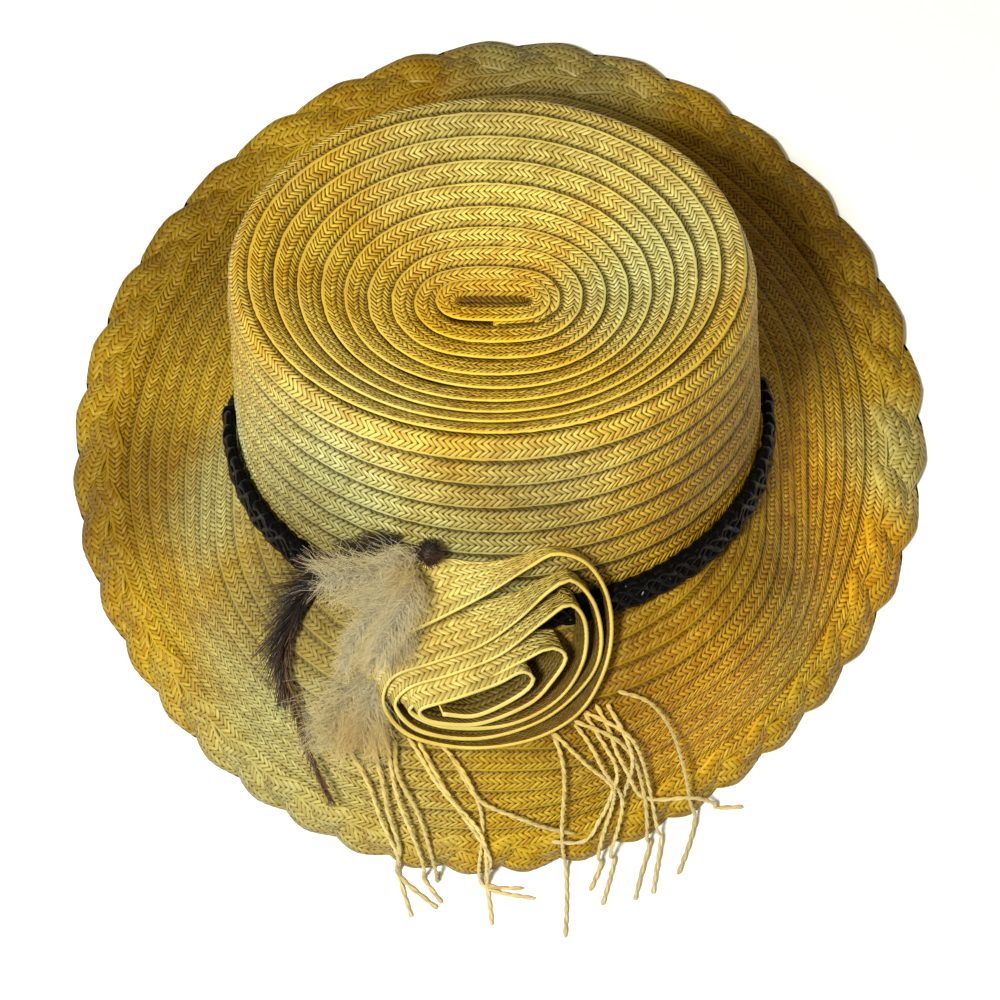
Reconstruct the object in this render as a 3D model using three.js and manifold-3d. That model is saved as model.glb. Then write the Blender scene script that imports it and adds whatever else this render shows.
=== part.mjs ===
// A brimmed hat of sewn straw braid, trimmed with a straw rosette, feathers and a straw fringe.
// Millimetres, +Z up. The hat rests on its brim's edge on z = 0, with its trimmed front towards -Y.
// The crown leans back, because the brim falls steeply in front and runs nearly level behind.

import * as THREE from "three";
import * as BufferGeometryUtils from "three/addons/utils/BufferGeometryUtils.js";
import Module from "manifold-3d";

const wasm = await Module();
wasm.setup();

// ---- Driving sizes ----

const GAP = 0.3;                    // clearance between neighbouring pieces

const CROWN = {
  halfWidth: 92,                    // outside, at the foot
  halfDepth: 94,
  leanDeg: 25,                      // backward lean of the crown's axis
  footHeight: 50.5,                 // height of the foot's centre above the floor
  wall: 2,
  steps: 56,
};

// Outer profile of the crown, from its foot over the shoulder and down into the dished tip:
// reach is a share of the foot's half-axes, height is along the crown's axis.
const CROWN_PROFILE = [
  { reach: 1.0, height: 0 },
  { reach: 0.99, height: 26 },
  { reach: 0.975, height: 52 },
  { reach: 0.968, height: 72 },
  { reach: 0.955, height: 78 },
  { reach: 0.93, height: 80.5 },
  { reach: 0.89, height: 79.5 },
  { reach: 0.68, height: 70.5 },
  { reach: 0.46, height: 64 },
  { reach: 0.24, height: 61.5 },
];
const TIP_HEIGHT = 61;              // middle of the dished tip
const CROWN_SHEAR = 0.038;          // how far the crown's top stands over to the wearer's right

const EDGE = {
  halfWidth: 158,
  halfDepth: 165.5,
  setBack: 17,                      // centre of the edge, behind the centre of the crown's foot
  lagDeg: 12,                       // how far a section's end trails its root round the edge
  yawDeg: -3.4,
  diagonal: -0.015,                 // drawn out towards front left and back right
  pointed: 0.011,                   // drawn in at the four diagonals
};

// One row for each section of the brim, every 30 degrees of turn from the front towards +X.
// Falls are degrees below level at the crown and at the edge, pulls are the curve's handles.
const BRIM_SECTIONS = [
  { turn: 0, rootFall: 47, rootPull: 48, edgeFall: 75, edgePull: 35 },
  { turn: 30, rootFall: 12, rootPull: 48, edgeFall: 54, edgePull: 41 },
  { turn: 60, rootFall: 8, rootPull: 48, edgeFall: 56, edgePull: 45 },
  { turn: 90, rootFall: 47, rootPull: 33, edgeFall: 33, edgePull: 44 },
  { turn: 120, rootFall: 12, rootPull: 47, edgeFall: 7, edgePull: 31 },
  { turn: 150, rootFall: 3, rootPull: 48, edgeFall: 1, edgePull: 35 },
  { turn: 180, rootFall: 3, rootPull: 44, edgeFall: 13, edgePull: 36 },
  { turn: 210, rootFall: 3, rootPull: 46, edgeFall: 0, edgePull: 36 },
  { turn: 240, rootFall: 15, rootPull: 44, edgeFall: 3, edgePull: 32 },
  { turn: 270, rootFall: 50, rootPull: 27, edgeFall: 35, edgePull: 43 },
  { turn: 300, rootFall: 18, rootPull: 44, edgeFall: 48, edgePull: 48 },
  { turn: 330, rootFall: 15, rootPull: 48, edgeFall: 62, edgePull: 45 },
];
const BRIM = { thick: 2, steps: 64, bands: 7 };
const PLAIT = { width: 21.5, thick: 5, scallops: 39, notch: 2.6, stepsPerScallop: 4, tread: 0.25 };
const BAND = { height: 7, thick: 3, lift: 3.4, steps: 64 };

// The rosette is a strip of braid wound into an oval scroll that stands out further at each turn.
const ROSETTE = {
  centre: new THREE.Vector3(0, -98, 95),        // of the outer turn's front edge
  axis: new THREE.Vector3(0.3, -0.83, 0.47).normalize(),
  stripWidth: 22,
  wall: 1.6,
  turns: 4.5,
  stepsPerTurn: 20,
};

// One row for each turn of the scroll, from the outer one inwards. Shifts move its middle
// sideways and upwards in its own plane, and proud is how far its edge stands out.
const ROSETTE_TURNS = [
  { halfWidth: 38, halfHeight: 39, shiftSide: 0, shiftUp: 0, proud: 0 },
  { halfWidth: 36, halfHeight: 31, shiftSide: -3.1, shiftUp: -1.2, proud: 5 },
  { halfWidth: 33, halfHeight: 24, shiftSide: -6.2, shiftUp: -2.4, proud: 10 },
  { halfWidth: 29, halfHeight: 13, shiftSide: -9.3, shiftUp: -3.6, proud: 15 },
  { halfWidth: 22, halfHeight: 6, shiftSide: -12.4, shiftUp: -4.8, proud: 20 },
  { halfWidth: 12, halfHeight: 3, shiftSide: -14, shiftUp: -5.4, proud: 22 },
];

// Places along each feather. "at" is crown, with a height above its foot, or brim, with a
// reach from it; off is the distance from the straw, and wide and deep are half sizes.
const COQUE_FEATHER = [
  { at: "crown", turn: -20, along: 26, off: 7, wide: 2, deep: 1 },
  { at: "crown", turn: -36, along: 24, off: 6, wide: 4, deep: 1.2 },
  { at: "crown", turn: -47, along: 15, off: 9, wide: 6, deep: 1.2 },
  { at: "brim", turn: -48, along: 14, off: 11, wide: 5, deep: 1.2 },
  { at: "brim", turn: -44, along: 28, off: 8, wide: 4, deep: 1 },
  { at: "brim", turn: -40, along: 42, off: 5, wide: 1, deep: 0.6 },
];
const THIN_FEATHER = [
  { at: "brim", turn: -47, along: 8, off: 5, wide: 1, deep: 0.8 },
  { at: "brim", turn: -42, along: 28, off: 3.4, wide: 2, deep: 0.8 },
  { at: "brim", turn: -38, along: 44, off: 3, wide: 2.2, deep: 0.8 },
  { at: "brim", turn: -32, along: 60, off: 2.6, wide: 2, deep: 0.8 },
  { at: "brim", turn: -27, along: 74, off: 2.4, wide: 1.6, deep: 0.7 },
  { at: "brim", turn: -24, along: 84, off: 2.2, wide: 0.7, deep: 0.5 },
];
const MARABOU_PLUME = [
  { at: "crown", turn: -27, along: 16, off: 9, wide: 6, deep: 2 },
  { at: "crown", turn: -29, along: 9, off: 13, wide: 10, deep: 4 },
  { at: "brim", turn: -31, along: 12, off: 13, wide: 14, deep: 5 },
  { at: "brim", turn: -30, along: 26, off: 10, wide: 14, deep: 5 },
  { at: "brim", turn: -29, along: 42, off: 8, wide: 13, deep: 4.5 },
  { at: "brim", turn: -26, along: 56, off: 6, wide: 11, deep: 3 },
  { at: "brim", turn: -23, along: 66, off: 4.5, wide: 6, deep: 1.5 },
];
const KNOT = { turn: -17, height: 27, off: 7, radii: [5, 4, 5] };

// Each fringe fans out from under the rosette, over the plait and on to the floor.
const FRINGES = [
  { name: "fringe_left", start: [-25, -6], end: [-13, 7], reach: 48 },
  { name: "fringe_right", start: [12, 23], end: [11, 34], reach: 41 },
];
const FRINGE = { thick: 2.2, columns: 4, overBrim: 4, floorRun: 15 };

const rad = THREE.MathUtils.degToRad;

// ---- Surfaces of the straw body ----

// A point given in the crown's own frame, whose origin is the centre of its foot.
function fromCrown(x, y, z) {
  const lean = rad(CROWN.leanDeg);
  return new THREE.Vector3(
    x,
    y * Math.cos(lean) + z * Math.sin(lean),
    z * Math.cos(lean) - y * Math.sin(lean) + CROWN.footHeight,
  );
}

// Outside of the crown at a turn and height, pushed out by a clearance.
function crownSide(turn, height, out = 0) {
  const t = rad(turn);
  const reach = THREE.MathUtils.lerp(CROWN_PROFILE[0].reach, CROWN_PROFILE[2].reach,
    height / CROWN_PROFILE[2].height);
  return fromCrown(
    (CROWN.halfWidth * reach + out) * Math.sin(t) - CROWN_SHEAR * height,
    -(CROWN.halfDepth * reach + out) * Math.cos(t),
    height,
  );
}

// Smooth value of one column of the sections at any turn.
function sectionValue(column, turn) {
  const count = BRIM_SECTIONS.length;
  const place = (((turn % 360) + 360) % 360) / (360 / count);
  const i = Math.floor(place);
  const t = place - i;
  const [a, b, c, d] = [-1, 0, 1, 2].map((k) => BRIM_SECTIONS[(i + k + count) % count][column]);
  return b + 0.5 * t * (c - a + t * (2 * a - 5 * b + 4 * c - d + t * (3 * (b - c) + d - a)));
}

// The middle of the plait's outer edge at a turn.
function edgePoint(turn) {
  const around = rad(turn) - rad(EDGE.lagDeg) * Math.sin(rad(turn));
  const swell = 1 + EDGE.diagonal * Math.sin(2 * around) - EDGE.pointed * (1 - Math.cos(4 * around));
  const x = EDGE.halfWidth * Math.sin(around) * swell;
  const y = -EDGE.halfDepth * Math.cos(around) * swell;
  const yaw = rad(EDGE.yawDeg);
  const fall = Math.abs(sectionValue("edgeFall", turn));
  const height = PLAIT.thick / 2 * (1 - Math.sin(rad(fall))) - PLAIT.tread;
  return new THREE.Vector3(
    x * Math.cos(yaw) - y * Math.sin(yaw),
    EDGE.setBack + x * Math.sin(yaw) + y * Math.cos(yaw),
    height,
  );
}

// The brim's middle surface at a turn, as one curve from the crown's foot to the edge.
function brimCurve(turn) {
  const t = rad(turn);
  const root = fromCrown(CROWN.halfWidth * Math.sin(t), -CROWN.halfDepth * Math.cos(t), 0);
  const edge = edgePoint(turn);
  const outward = new THREE.Vector3(edge.x - root.x, edge.y - root.y, 0).normalize();
  const along = (fall) => outward.clone().multiplyScalar(Math.cos(rad(fall)))
    .add(new THREE.Vector3(0, 0, -Math.sin(rad(fall))));
  const rootWay = along(sectionValue("rootFall", turn));
  const edgeWay = along(sectionValue("edgeFall", turn));
  return new THREE.CubicBezierCurve3(
    root,
    root.clone().addScaledVector(rootWay, sectionValue("rootPull", turn)),
    edge.clone().addScaledVector(edgeWay, -sectionValue("edgePull", turn)),
    edge,
  );
}

// A point on the brim: reach is its distance from the crown along the straw, or with
// fromEdge its distance in from the edge; lift is its height off the middle surface.
function brimPoint(turn, reach, lift = 0, fromEdge = false) {
  const curve = brimCurve(turn);
  const length = curve.getLength();
  const share = THREE.MathUtils.clamp((fromEdge ? length - reach : reach) / length, 0, 1);
  const point = curve.getPointAt(share);
  if (lift === 0) return point;
  const down = curve.getTangentAt(share);
  const next = brimCurve(turn + 1);
  const round = next.getPointAt(share).sub(point);
  const normal = new THREE.Vector3().crossVectors(down, round).normalize();
  return point.addScaledVector(normal, lift);
}

// ---- Making closed solids ----

// A closed skin over rings of points. Rings join into a loop, or end in flat fans.
function skin(rings, looped) {
  const size = rings[0].length;
  const positions = [];
  const index = [];
  rings.forEach((ring) => ring.forEach((p) => positions.push(p.x, p.y, p.z)));
  const spans = looped ? rings.length : rings.length - 1;
  for (let i = 0; i < spans; i += 1) {
    const here = i * size;
    const there = ((i + 1) % rings.length) * size;
    for (let k = 0; k < size; k += 1) {
      const n = (k + 1) % size;
      index.push(here + k, there + k, there + n, here + k, there + n, here + n);
    }
  }
  if (!looped) {
    [0, rings.length - 1].forEach((r) => {
      const middle = rings[r].reduce((sum, p) => sum.add(p), new THREE.Vector3())
        .divideScalar(size);
      const hub = positions.length / 3;
      positions.push(middle.x, middle.y, middle.z);
      for (let k = 0; k < size; k += 1) {
        const a = r * size + k;
        const b = r * size + (k + 1) % size;
        index.push(...(r === 0 ? [hub, a, b] : [hub, b, a]));
      }
    });
  }
  const geometry = new THREE.BufferGeometry();
  geometry.setAttribute("position", new THREE.Float32BufferAttribute(positions, 3));
  geometry.setIndex(index);
  return facingOut(geometry);
}

// Turns every triangle over if the skin is inside out.
function facingOut(geometry) {
  const p = geometry.attributes.position;
  const at = (i) => new THREE.Vector3().fromBufferAttribute(p, i);
  const list = Array.from(geometry.index.array);
  let volume = 0;
  for (let i = 0; i < list.length; i += 3) {
    volume += at(list[i]).dot(at(list[i + 1]).cross(at(list[i + 2])));
  }
  if (volume < 0) geometry.setIndex(list.reverse());
  return geometry;
}

function toSolid(geometry) {
  const bare = geometry.clone();
  bare.deleteAttribute("normal");
  bare.deleteAttribute("uv");
  const merged = BufferGeometryUtils.mergeVertices(bare, 1e-4);
  return new wasm.Manifold(new wasm.Mesh({
    numProp: 3,
    vertProperties: new Float32Array(merged.attributes.position.array),
    triVerts: new Uint32Array(merged.index.array),
  }));
}

function fromSolid(solid) {
  const mesh = solid.getMesh();
  const geometry = new THREE.BufferGeometry();
  geometry.setAttribute("position", new THREE.Float32BufferAttribute(mesh.vertProperties, 3));
  geometry.setIndex(Array.from(mesh.triVerts));
  return geometry;
}

// What is left of a solid outside another, without the crumbs that a cut leaves behind it.
function cutBack(solid, room) {
  const pieces = solid.subtract(room).decompose();
  return pieces.reduce((most, piece) => (piece.volume() > most.volume() ? piece : most));
}

const turns = (count) => Array.from({ length: count }, (_, i) => (i * 360) / count);

// ---- The straw body ----

function crownGeometry() {
  const { halfWidth, halfDepth, wall } = CROWN;
  const outer = CROWN_PROFILE.map((p) => ({ x: halfWidth * p.reach, y: halfDepth * p.reach, z: p.height }));
  // The inside follows the outside one wall in: sideways on the side, downwards under the tip.
  const inner = CROWN_PROFILE.map((p, i) => {
    const side = i < 5 ? wall : wall * 0.8;
    const drop = i < 3 ? 0 : wall;
    return { x: halfWidth * p.reach - side, y: halfDepth * p.reach - side, z: p.height - drop };
  });
  const place = (p, t) => fromCrown(p.x * Math.sin(t) - CROWN_SHEAR * p.z, -p.y * Math.cos(t), p.z);
  const loops = [...inner.slice().reverse(), ...outer];
  const rings = loops.map((p) => turns(CROWN.steps).map((turn) => place(p, rad(turn))));
  // The ends of the skin are the middles of the tip, inside and outside.
  const geometry = skin(rings, false);
  const position = geometry.attributes.position;
  const hubs = [TIP_HEIGHT - wall, TIP_HEIGHT];
  hubs.forEach((height, i) => {
    const middle = fromCrown(-CROWN_SHEAR * height, 0, height);
    position.setXYZ(position.count - 2 + i, middle.x, middle.y, middle.z);
  });
  return facingOut(geometry);
}

// Slab between two reaches of the brim, with its own thickness: a closed loop of sections.
function brimSlab(steps, section) {
  return skin(turns(steps).map(section), true);
}

function brimGeometry() {
  const rootClear = CROWN.wall / 2 + GAP;
  return brimSlab(BRIM.steps, (turn) => {
    const length = brimCurve(turn).getLength();
    const end = length - PLAIT.width - GAP;
    const reaches = Array.from({ length: BRIM.bands + 1 },
      (_, i) => rootClear + (end - rootClear) * (i / BRIM.bands));
    const top = reaches.map((r) => brimPoint(turn, r, BRIM.thick / 2));
    const under = reaches.map((r) => brimPoint(turn, r, -BRIM.thick / 2));
    return [...top, ...under.reverse()];
  });
}

function plaitGeometry() {
  const half = PLAIT.thick / 2;
  const steps = PLAIT.scallops * PLAIT.stepsPerScallop;
  const slab = brimSlab(steps, (turn) => {
    const bulge = Math.abs(Math.cos(rad(turn * PLAIT.scallops / 2)));
    const out = PLAIT.notch * (1 - bulge);
    const section = [
      { reach: PLAIT.width, lift: -half * 0.45 },
      { reach: PLAIT.width, lift: half * 0.45 },
      { reach: out + half, lift: half },
      { reach: out, lift: half * 0.4 },
      { reach: out, lift: -half * 0.4 },
      { reach: out + half, lift: -half },
    ];
    return section.map((s) => brimPoint(turn, s.reach, s.lift, true));
  });
  // The edge is trodden flat where it meets the floor.
  const room = new THREE.BoxGeometry(500, 500, 200);
  room.translate(0, 0, 100);
  return fromSolid(toSolid(slab).intersect(toSolid(room)));
}

// The band, or with a clearance the room that it takes up.
function bandGeometry(clear = 0) {
  const low = BAND.lift - clear;
  const high = BAND.lift + BAND.height + clear;
  const outside = GAP + BAND.thick + clear;
  return skin(turns(BAND.steps).map((turn) => [
    crownSide(turn, low, GAP),
    crownSide(turn, low, outside),
    crownSide(turn, high, outside),
    crownSide(turn, high, GAP),
  ]), true);
}

// ---- The trimmings ----

// Everything that the crown, its band and the brim take up, with a clearance round them.
function strawRoom() {
  const reachIn = BRIM.thick * 9;
  const crownRings = CROWN_PROFILE.map((p, i) => turns(CROWN.steps).map((turn) => {
    const t = rad(turn);
    return fromCrown(
      (CROWN.halfWidth * p.reach + GAP) * Math.sin(t) - CROWN_SHEAR * p.height,
      -(CROWN.halfDepth * p.reach + GAP) * Math.cos(t),
      i === 0 ? -CROWN.wall : p.height + GAP,
    );
  }));
  const brim = brimSlab(BRIM.steps, (turn) => {
    const length = brimCurve(turn).getLength();
    const reaches = Array.from({ length: BRIM.bands + 1 }, (_, i) => length * (i / BRIM.bands));
    const top = reaches.map((r) => brimPoint(turn, r, BRIM.thick / 2 + 2 * GAP));
    const under = reaches.map((r) => brimPoint(turn, r, -reachIn));
    return [...top, ...under.reverse()];
  });
  return toSolid(skin(crownRings, false)).add(toSolid(bandGeometry(GAP))).add(toSolid(brim));
}

function rosetteGeometry() {
  const { centre, axis, stripWidth, wall, stepsPerTurn } = ROSETTE;
  const side = new THREE.Vector3(1, 0, 0).addScaledVector(axis, -axis.x).normalize();
  const up = new THREE.Vector3().crossVectors(axis, side);
  const count = Math.round(ROSETTE.turns * stepsPerTurn);
  const rings = Array.from({ length: count + 1 }, (_, step) => {
    const place = step / stepsPerTurn;
    const row = Math.min(Math.floor(place), ROSETTE_TURNS.length - 2);
    const mix = (column) => THREE.MathUtils.lerp(
      ROSETTE_TURNS[row][column], ROSETTE_TURNS[row + 1][column], place - row);
    // The strip starts on the wearer's left and runs over the top.
    const angle = Math.PI - 2 * Math.PI * place;
    const corner = (grow, back) => centre.clone()
      .addScaledVector(side, mix("shiftSide") + (mix("halfWidth") + grow) * Math.cos(angle))
      .addScaledVector(up, mix("shiftUp") + (mix("halfHeight") + grow) * Math.sin(angle))
      .addScaledVector(axis, mix("proud") - back);
    return [corner(0, 0), corner(wall, 0), corner(wall, stripWidth), corner(0, stripWidth)];
  });
  return toSolid(skin(rings, false));
}

// A place off the straw, with the way across and the way off it.
function featherPlace(row) {
  const onStraw = (turn, off) => (row.at === "crown"
    ? crownSide(turn, row.along, off)
    : brimPoint(turn, row.along, off));
  const middle = onStraw(row.turn, row.off);
  const off = onStraw(row.turn, row.off + 1).sub(middle).normalize();
  return { middle, off };
}

// A feather or plume: a spindle of oval sections through its table of places.
function featherGeometry(table, sides) {
  const places = table.map(featherPlace);
  const spine = new THREE.CatmullRomCurve3(places.map((p) => p.middle));
  const rings = table.map((row, i) => {
    const way = spine.getTangent(i / (table.length - 1));
    const { middle, off } = places[i];
    const across = new THREE.Vector3().crossVectors(way, off).normalize();
    const raise = new THREE.Vector3().crossVectors(across, way);
    return Array.from({ length: sides }, (_, k) => {
      const a = (2 * Math.PI * k) / sides;
      return middle.clone()
        .addScaledVector(across, row.wide * Math.cos(a))
        .addScaledVector(raise, row.deep * Math.sin(a));
    });
  });
  return toSolid(skin(rings, false));
}

function knotGeometry() {
  const geometry = new THREE.SphereGeometry(1, 14, 10);
  geometry.scale(...KNOT.radii);
  const middle = crownSide(KNOT.turn, KNOT.height, KNOT.off);
  geometry.translate(middle.x, middle.y, middle.z);
  return toSolid(geometry);
}

// The outer form of one fringe, as rows of points over the brim, the plait and the floor.
function fringeGeometry({ start, end, reach }) {
  const onPlait = PLAIT.thick / 2 + 2 * GAP;
  const onBrim = BRIM.thick / 2 + GAP;
  const rows = [];
  const across = Array.from({ length: FRINGE.columns + 1 }, (_, i) => i / FRINGE.columns);
  const turnAt = (u, v) => THREE.MathUtils.lerp(
    THREE.MathUtils.lerp(start[0], start[1], u), THREE.MathUtils.lerp(end[0], end[1], u), v);
  const addRow = (point) => {
    const top = across.map((u) => point(u, FRINGE.thick));
    const under = across.map((u) => point(u, 0));
    rows.push([...top, ...under.reverse()]);
  };
  for (let i = 0; i <= FRINGE.overBrim; i += 1) {
    const v = i / FRINGE.overBrim;
    addRow((u, up) => {
      const turn = turnAt(u, v * 0.8);
      const length = brimCurve(turn).getLength();
      return brimPoint(turn, THREE.MathUtils.lerp(reach, length - PLAIT.width - 3, v), onBrim + up);
    });
  }
  [PLAIT.width * 0.85, PLAIT.width * 0.5, PLAIT.thick].forEach((inset, i) => {
    addRow((u, up) => brimPoint(turnAt(u, 0.85 + i * 0.05), inset, onPlait + up, true));
  });
  [0.4, 1].forEach((run) => {
    addRow((u, up) => {
      const edge = edgePoint(turnAt(u, 1));
      const away = new THREE.Vector3(edge.x, edge.y - EDGE.setBack, 0).normalize();
      const far = onPlait + FRINGE.thick + FRINGE.floorRun * run;
      return edge.addScaledVector(away, far).setZ(GAP + up);
    });
  });
  return toSolid(skin(rows, false));
}

const hat = new THREE.Group();
const add = (name, geometry, color, roughness) => {
  const mesh = new THREE.Mesh(geometry, new THREE.MeshStandardMaterial({ color, roughness }));
  mesh.name = name;
  hat.add(mesh);
};
add("crown", crownGeometry(), 0xc9a850, 0.7);
add("brim", brimGeometry(), 0xc2a04a, 0.7);
add("edge_plait", plaitGeometry(), 0xbd9a45, 0.7);
add("crown_band", bandGeometry(), 0x0c0b0b, 0.25);

const straw = strawRoom();
add("rosette", fromSolid(cutBack(rosetteGeometry(), straw)), 0xcdb060, 0.7);
add("coque_feather", fromSolid(cutBack(featherGeometry(COQUE_FEATHER, 8), straw)), 0x201613, 0.4);
add("thin_feather", fromSolid(cutBack(featherGeometry(THIN_FEATHER, 8), straw)), 0x3a2a1c, 0.5);
add("marabou_plume", fromSolid(cutBack(featherGeometry(MARABOU_PLUME, 16), straw)), 0xb09a78, 0.9);
add("feather_knot", fromSolid(knotGeometry()), 0x18110f, 0.6);
FRINGES.forEach((fringe) => {
  add(fringe.name, fromSolid(cutBack(fringeGeometry(fringe), straw)), 0xc9a648, 0.6);
});

// The origin is the middle of the hat's footprint, on the floor.
const extent = new THREE.Box3().setFromObject(hat);
const middle = extent.getCenter(new THREE.Vector3());
hat.position.set(-middle.x, -middle.y, -extent.min.z);

const part = new THREE.Group();
part.add(hat);

export default part;
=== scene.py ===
"""A straw sun hat: plaited straw braid sewn in overlapping rows, a plaited brim edge, a black cord band,
a rolled braid rosette, feathers, down and a fringe of twisted straw.

Lengths are in millimetres in the hat's own frame. Its origin is on the floor under the middle of the
crown's foot, +X is the wearer's left as the hat faces -Y, and a turn runs round from the front towards
+X. to_row() turns such places into metres in the row's frame.
"""
import math

import bpy
import numpy as np
from mathutils import Matrix, Vector
from mathutils.bvhtree import BVHTree


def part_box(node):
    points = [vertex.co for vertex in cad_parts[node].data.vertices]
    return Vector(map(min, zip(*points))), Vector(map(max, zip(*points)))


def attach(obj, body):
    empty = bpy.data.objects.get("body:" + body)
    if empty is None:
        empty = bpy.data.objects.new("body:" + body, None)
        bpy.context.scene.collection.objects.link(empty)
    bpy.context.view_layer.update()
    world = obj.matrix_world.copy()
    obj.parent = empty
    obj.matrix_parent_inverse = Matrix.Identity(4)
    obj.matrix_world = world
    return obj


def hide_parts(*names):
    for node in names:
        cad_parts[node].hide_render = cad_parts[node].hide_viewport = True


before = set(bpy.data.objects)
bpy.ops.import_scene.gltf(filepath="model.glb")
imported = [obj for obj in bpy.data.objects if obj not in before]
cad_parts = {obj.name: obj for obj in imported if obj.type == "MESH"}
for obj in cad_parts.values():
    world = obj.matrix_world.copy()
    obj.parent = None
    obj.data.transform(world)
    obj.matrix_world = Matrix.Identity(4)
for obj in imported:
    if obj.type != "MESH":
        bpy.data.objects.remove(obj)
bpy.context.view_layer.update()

MM = 0.001

# ---- Sizes of the hat ----

CROWN_HALF_WIDTH = 92.0
CROWN_HALF_DEPTH = 94.0
CROWN_MEAN_HALF = (CROWN_HALF_WIDTH + CROWN_HALF_DEPTH) / 2
CROWN_LEAN = math.radians(25)
CROWN_FOOT_HEIGHT = 50.5
CROWN_SHEAR = 0.038
# Reach and height of the crown's outline, from the middle of its tip to its foot.
CROWN_OUTLINE = [
    (0, 61), (0.24, 61.5), (0.46, 64), (0.68, 70.5), (0.89, 79.5), (0.93, 80.5), (0.955, 78),
    (0.968, 72), (0.975, 52), (0.99, 26), (1, 0),
]
TIP_OBLONG = 11.0                    # half length of the folded start of the braid

EDGE_HALF_WIDTH = 158.0
EDGE_HALF_DEPTH = 165.5
EDGE_SET_BACK = 17.0                 # how far the edge's middle lies behind the crown's
EDGE_LAG = math.radians(12)
EDGE_YAW = math.radians(-3.4)
EDGE_DIAGONAL = -0.015
EDGE_POINTED = 0.011
EDGE_THICK = 5.0
EDGE_TREAD = 0.25                    # how far the whole edge is let down
EDGE_MEAN_HALF = 160.0
# Fall and handle length at the crown and at the edge, for a section of the brim every 30 degrees.
BRIM_SECTIONS = np.array([
    (47, 48, 75, 35), (12, 48, 54, 41), (8, 48, 56, 45), (47, 33, 33, 44), (12, 47, 7, 31),
    (3, 48, 1, 35), (3, 44, 13, 36), (3, 46, 0, 36), (15, 44, 3, 32), (50, 27, 35, 43),
    (18, 44, 48, 48), (15, 48, 62, 45),
], float)

STRAW_PITCH = 2.07                   # from one straw to the next along a row
STRAY_ALONG = 0.08                   # share of a pitch that a straw's corners stray by
STRAY_ACROSS = 0.12
STRAY_UP = 0.07
BRAID_THICK = 0.8
LAP_SLOPE = 0.13                     # how a row rises from its hidden edge to the one that shows
STRAW_SLANT = 1.2                    # how many pitches a straw runs along while it crosses its column
STRAW_RISE = 0.26                    # how far a straw stands up out of the braid
STRAW_TOP = 0.93                     # share of its width that a straw keeps at its top
STRAW_UNEVEN = 0.25                  # by what share some straws stand higher or lower
ROLLED_EDGE = 1.0                    # width of the plain edge of a strip that shows both its sides
EDGE_RIDGE = 0.4                     # and how far it stands out of the straw

PLAIT_WIDTH = 21.5

# ---- Colours, as linear light ----

GOLD_DEEP = (0.240, 0.092, 0.001)
GOLD_MIDDLE = (0.500, 0.265, 0.004)
GOLD_LIGHT = (0.700, 0.470, 0.030)
PALE_DEEP = (0.228, 0.208, 0.065)
PALE_MIDDLE = (0.427, 0.426, 0.162)
PALE_LIGHT = (0.627, 0.655, 0.313)
# Colour of the painted shade in the gaps between straws.
STRAW_GAP_SHADE = (0.040, 0.020, 0.003)
CORD_BLACK = (0.0015, 0.0015, 0.0015)
CORD_GLINT = (0.005, 0.005, 0.005)
QUILL_DARK = (0.012, 0.007, 0.006)
QUILL_BROWN = (0.075, 0.032, 0.016)
QUILL_TIP = (0.3, 0.16, 0.04)
DOWN_BEIGE = (0.680, 0.600, 0.370)
DOWN_GOLD = (0.660, 0.520, 0.220)
DOWN_SHADE = (0.400, 0.330, 0.190)
FRINGE_ROOT = (0.70, 0.50, 0.14)
FRINGE_MIDDLE = (0.74, 0.60, 0.24)
FRINGE_TIP = (0.60, 0.48, 0.25)
# Tints that multiply the colour under them.
SHADE_TINT = (0.52, 0.47, 0.40)
WARM_LIGHT_TINT = (1.34, 1.13, 0.62)
LAP_SHADE_TINT = (0.22, 0.19, 0.15)
WARM_TINT = (0.95, 0.76, 0.36)
DARK_STRAND_TINT = (0.45, 0.45, 0.45)

# ---- Places on the hat ----

crown_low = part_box("crown")[0]
ORIGIN = np.array([
    crown_low[0] / MM + CROWN_HALF_WIDTH,
    crown_low[1] / MM + CROWN_HALF_DEPTH * math.cos(CROWN_LEAN),
    0.0,
])


def to_row(points):
    return (np.asarray(points, float) + ORIGIN) * MM


def mix(a, b, share):
    return a + (b - a) * share


def unit(vectors):
    return vectors / np.linalg.norm(vectors, axis=-1, keepdims=True)


def cubic(a, b, c, d, t):
    """Part of a smooth line through a, b, c and d, from b at 0 to c at 1."""
    return b + 0.5 * t * (c - a + t * (2 * a - 5 * b + 4 * c - d + t * (3 * (b - c) + d - a)))


def smooth_path(places, each=24):
    """A smooth line through rows of numbers."""
    padded = np.concatenate([2 * places[:1] - places[1:2], places, 2 * places[-1:] - places[-2:-1]])
    t = np.linspace(0, 1, each, endpoint=False)[:, None]
    parts = [cubic(*near, t) for near in zip(padded, padded[1:], padded[2:], padded[3:])]
    return np.concatenate(parts + [places[-1:]])


def run_along(path):
    """The distance from the start of a line to each of its points."""
    return np.concatenate([[0], np.cumsum(np.linalg.norm(np.diff(path, axis=0), axis=1))])


def averaged(values, reach=20):
    """Values smoothed over that many neighbours on each side."""
    width = 2 * reach + 1
    return np.convolve(np.pad(values, reach, "edge"), np.ones(width) / width, "valid")


def outline_tables():
    """The crown's outline as even steps of run from the middle of the tip, with its corners eased."""
    reach, height = np.array(CROWN_OUTLINE, float).T
    steps_down = np.hypot(np.diff(reach) * CROWN_MEAN_HALF, np.diff(height))
    run = np.concatenate([[0], np.cumsum(steps_down)])
    even = np.arange(0, run[-1], 0.5)
    eased = []
    weights = np.hanning(19) / np.hanning(19).sum()
    for values in (reach, height):
        steps = np.interp(even, run, values)
        padded = np.concatenate([2 * steps[0] - steps[9:0:-1], steps, 2 * steps[-1] - steps[-2:-11:-1]])
        eased.append(np.convolve(padded, weights, "valid"))
    return even, eased[0], eased[1]


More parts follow.
